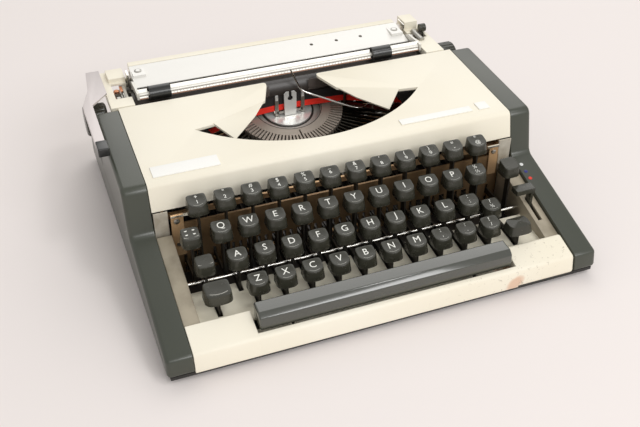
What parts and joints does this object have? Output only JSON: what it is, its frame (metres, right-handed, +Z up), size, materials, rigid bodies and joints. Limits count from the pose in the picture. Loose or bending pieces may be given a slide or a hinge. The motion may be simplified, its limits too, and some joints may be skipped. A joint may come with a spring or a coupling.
{
  "type": "portable typewriter",
  "caption": "Low portable manual typewriter with light covers, dark side panels and keys, an open type basket and a carriage with return lever, paper bail and table.",
  "frame": {"origin": "on the table, under the middle of the machine's bounding box", "axes": "+X to the typist's right, +Y towards the back, +Z up; the feet stand on z = 0"},
  "size_m": [0.317, 0.278, 0.0913],
  "materials": {
    "pan": "satin",
    "rubber": "satin",
    "steel": "satin",
    "panel": "satin",
    "cream": "satin",
    "deck": "satin",
    "plate_white": "satin",
    "chassis": "satin",
    "bronze": "satin",
    "key": "satin",
    "segment": "satin",
    "chrome": "satin",
    "ribbon": "satin",
    "clear": "satin",
    "platen": "satin",
    "table_white": "satin",
    "lever": "satin"
  },
  "bodies": {
    "casing": {"base_pan": "pan", "rubber_feet": "rubber", "casing_screws": "steel", "side_panel_left": "panel", "side_panel_right": "panel", "front_apron": "cream", "keyboard_deck": "deck", "top_cover": "cream", "name_plates": "plate_white", "back_panel": "cream", "chassis": "chassis", "carriage_rail": "steel", "key_comb": "bronze", "fulcrum_rod": "steel", "ribbon": "ribbon", "spool_cups": "steel", "card_holders": "clear", "ribbon_wire": "chrome", "bell": "chrome"},
    "basket": {"segment": "segment", "type_bars": "steel", "type_guide": "plate_white"},
    "striking_bar": {"type_bar_h": "chrome"},
    "vibrator": {"ribbon_vibrator": "steel", "ribbon_span": "ribbon"},
    "left_spool": {"ribbon_spool_left": "pan"},
    "right_spool": {"ribbon_spool_right": "pan"},
    "space_bar_body": {"space_bar": "key"},
    "shift_body": {"shift_keys": "key"},
    "lock_body": {"shift_lock": "key"},
    "release_body": {"margin_release_key": "key"},
    "backspace_body": {"backspace_key": "key"},
    "selector_body": {"ribbon_selector": "key"},
    "carriage": {"carriage_frame": "chassis", "carriage_end_covers": "cream", "paper_table": "table_white"},
    "platen_body": {"platen": "platen", "platen_knobs": "key", "platen_ratchet": "steel"},
    "feed_body": {"feed_rollers": "rubber"},
    "rest_body": {"paper_rest": "cream"},
    "bail_body": {"paper_bail": "chrome"},
    "bail_roller_body": {"bail_rollers": "rubber"},
    "lever_body": {"return_lever": "lever", "return_lever_grip": "rubber"},
    "space_lever_body": {"line_space_lever": "chrome"},
    "release_lever_body": {"paper_release_lever": "key"},
    "left_stop_body": {"margin_stop_left": "steel"},
    "right_stop_body": {"margin_stop_right": "steel"},
    "drum_body": {"mainspring_drum": "steel"},
    "wheel_body": {"escapement_wheel": "bronze"},
    "keys_left_little_body": {"keys_left_little": "key"},
    "keys_left_ring_body": {"keys_left_ring": "key"},
    "keys_left_middle_body": {"keys_left_middle": "key"},
    "keys_left_index_body": {"keys_left_index": "key"},
    "key_h_body": {"key_h": "key"},
    "keys_right_index_body": {"keys_right_index": "key"},
    "keys_right_middle_body": {"keys_right_middle": "key"},
    "keys_right_ring_body": {"keys_right_ring": "key"},
    "keys_right_little_body": {"keys_right_little": "key"}
  },
  "joints": [
    {"name": "keys_left_little_press", "type": "hinge", "parent": "casing", "child": "keys_left_little_body", "pos_m": [0.0035, 0.097, 0.014], "axis": [1, 0, 0], "range_deg": [0, 3], "stiffness_Nm_per_rad": 0.6},
    {"name": "keys_left_ring_press", "type": "hinge", "parent": "casing", "child": "keys_left_ring_body", "pos_m": [0.0035, 0.097, 0.014], "axis": [1, 0, 0], "range_deg": [0, 3], "stiffness_Nm_per_rad": 0.6},
    {"name": "keys_left_middle_press", "type": "hinge", "parent": "casing", "child": "keys_left_middle_body", "pos_m": [0.0035, 0.097, 0.014], "axis": [1, 0, 0], "range_deg": [0, 3], "stiffness_Nm_per_rad": 0.6},
    {"name": "keys_left_index_press", "type": "hinge", "parent": "casing", "child": "keys_left_index_body", "pos_m": [0.0035, 0.097, 0.014], "axis": [1, 0, 0], "range_deg": [0, 3], "stiffness_Nm_per_rad": 0.6},
    {"name": "key_h_press", "type": "hinge", "parent": "casing", "child": "key_h_body", "pos_m": [0.0035, 0.097, 0.014], "axis": [1, 0, 0], "range_deg": [0, 3], "stiffness_Nm_per_rad": 0.6},
    {"name": "keys_right_index_press", "type": "hinge", "parent": "casing", "child": "keys_right_index_body", "pos_m": [0.0035, 0.097, 0.014], "axis": [1, 0, 0], "range_deg": [0, 3], "stiffness_Nm_per_rad": 0.6},
    {"name": "keys_right_middle_press", "type": "hinge", "parent": "casing", "child": "keys_right_middle_body", "pos_m": [0.0035, 0.097, 0.014], "axis": [1, 0, 0], "range_deg": [0, 3], "stiffness_Nm_per_rad": 0.6},
    {"name": "keys_right_ring_press", "type": "hinge", "parent": "casing", "child": "keys_right_ring_body", "pos_m": [0.0035, 0.097, 0.014], "axis": [1, 0, 0], "range_deg": [0, 3], "stiffness_Nm_per_rad": 0.6},
    {"name": "keys_right_little_press", "type": "hinge", "parent": "casing", "child": "keys_right_little_body", "pos_m": [0.0035, 0.097, 0.014], "axis": [1, 0, 0], "range_deg": [0, 3], "stiffness_Nm_per_rad": 0.6},
    {"name": "space_bar_press", "type": "hinge", "parent": "casing", "child": "space_bar_body", "pos_m": [0.0035, 0.097, 0.014], "axis": [1, 0, 0], "range_deg": [0, 1.4], "stiffness_Nm_per_rad": 0.6},
    {"name": "shift_press", "type": "hinge", "parent": "casing", "child": "shift_body", "pos_m": [0.0035, 0.097, 0.014], "axis": [1, 0, 0], "range_deg": [0, 2.6], "stiffness_Nm_per_rad": 0.6},
    {"name": "shift_lock_press", "type": "hinge", "parent": "shift_body", "child": "lock_body", "pos_m": [0.0035, 0.097, 0.014], "axis": [1, 0, 0], "range_deg": [0, 0.6], "stiffness_Nm_per_rad": 0.6},
    {"name": "margin_release_press", "type": "hinge", "parent": "casing", "child": "release_body", "pos_m": [0.0035, 0.097, 0.014], "axis": [1, 0, 0], "range_deg": [0, 3], "stiffness_Nm_per_rad": 0.6},
    {"name": "backspace_press", "type": "hinge", "parent": "casing", "child": "backspace_body", "pos_m": [0.0035, 0.097, 0.014], "axis": [1, 0, 0], "range_deg": [0, 3], "stiffness_Nm_per_rad": 0.6},
    {"name": "ribbon_select", "type": "slide", "parent": "casing", "child": "selector_body", "axis": [0, -1, 0], "range_m": [0, 0.014]},
    {"name": "basket_shift", "type": "slide", "parent": "casing", "child": "basket", "axis": [0, 0, -1], "range_m": [0, 0.0065]},
    {"name": "type_bar_strike", "type": "hinge", "parent": "basket", "child": "striking_bar", "pos_m": [0.0015, 0.03831, 0.04117], "axis": [-1, 0, 0], "range_deg": [0, 151]},
    {"name": "vibrator_lift", "type": "slide", "parent": "casing", "child": "vibrator", "axis": [0, 0, 1], "range_m": [0, 0.008]},
    {"name": "left_spool_turn", "type": "hinge", "parent": "casing", "child": "left_spool", "pos_m": [-0.0925, 0.033, 0.053], "axis": [0, 0, 1], "continuous": true},
    {"name": "right_spool_turn", "type": "hinge", "parent": "casing", "child": "right_spool", "pos_m": [0.0995, 0.033, 0.053], "axis": [0, 0, 1], "continuous": true},
    {"name": "carriage_travel", "type": "slide", "parent": "casing", "child": "carriage", "axis": [1, 0, 0], "range_m": [-0.105, 0.105]},
    {"name": "platen_turn", "type": "hinge", "parent": "carriage", "child": "platen_body", "pos_m": [0.0035, 0.087, 0.066], "axis": [1, 0, 0], "continuous": true},
    {"name": "feed_turn", "type": "hinge", "parent": "carriage", "child": "feed_body", "pos_m": [0.0035, 0.088, 0.0459], "axis": [1, 0, 0], "continuous": true},
    {"name": "paper_rest_fold", "type": "hinge", "parent": "carriage", "child": "rest_body", "pos_m": [0.0035, 0.1265, 0.077], "axis": [-1, 0, 0], "range_deg": [0, 80]},
    {"name": "bail_lift", "type": "hinge", "parent": "carriage", "child": "bail_body", "pos_m": [0.0035, 0.109, 0.075], "axis": [-1, 0, 0], "range_deg": [0, 50]},
    {"name": "bail_roller_turn", "type": "hinge", "parent": "bail_body", "child": "bail_roller_body", "pos_m": [0.0035, 0.0781, 0.085], "axis": [1, 0, 0], "continuous": true},
    {"name": "return_lever_swing", "type": "hinge", "parent": "carriage", "child": "lever_body", "pos_m": [-0.1435, 0.106, 0.087], "axis": [0, 0, -1], "range_deg": [0, 70]},
    {"name": "line_space_select", "type": "hinge", "parent": "carriage", "child": "space_lever_body", "pos_m": [-0.1185, 0.1165, 0.0745], "axis": [-1, 0, 0], "range_deg": [0, 12]},
    {"name": "paper_release_pull", "type": "hinge", "parent": "carriage", "child": "release_lever_body", "pos_m": [0.1315, 0.105, 0.069], "axis": [1, 0, 0], "range_deg": [0, 10]},
    {"name": "left_margin", "type": "slide", "parent": "carriage", "child": "left_stop_body", "axis": [1, 0, 0], "range_m": [-0.028, 0.06]},
    {"name": "right_margin", "type": "slide", "parent": "carriage", "child": "right_stop_body", "axis": [1, 0, 0], "range_m": [-0.06, 0.022]},
    {"name": "drum_turn", "type": "hinge", "parent": "casing", "child": "drum_body", "pos_m": [-0.0765, 0.121, 0.017], "axis": [0, 0, 1], "continuous": true},
    {"name": "escapement_turn", "type": "hinge", "parent": "casing", "child": "wheel_body", "pos_m": [0.0235, 0.121, 0.028], "axis": [0, 0, 1], "continuous": true}
  ],
  "couplings": [
    {"joint": "basket_shift", "follows": "shift_press", "m_per_rad": 0.14322},
    {"joint": "type_bar_strike", "follows": "key_h_press", "ratio": 50.328},
    {"joint": "vibrator_lift", "follows": "key_h_press", "m_per_rad": 0.15277},
    {"joint": "right_spool_turn", "follows": "left_spool_turn", "ratio": 1},
    {"joint": "feed_turn", "follows": "platen_turn", "ratio": -3.125},
    {"joint": "drum_turn", "follows": "carriage_travel", "rad_per_m": 120.48},
    {"joint": "escapement_turn", "follows": "carriage_travel", "rad_per_m": -133.33}
  ]
}
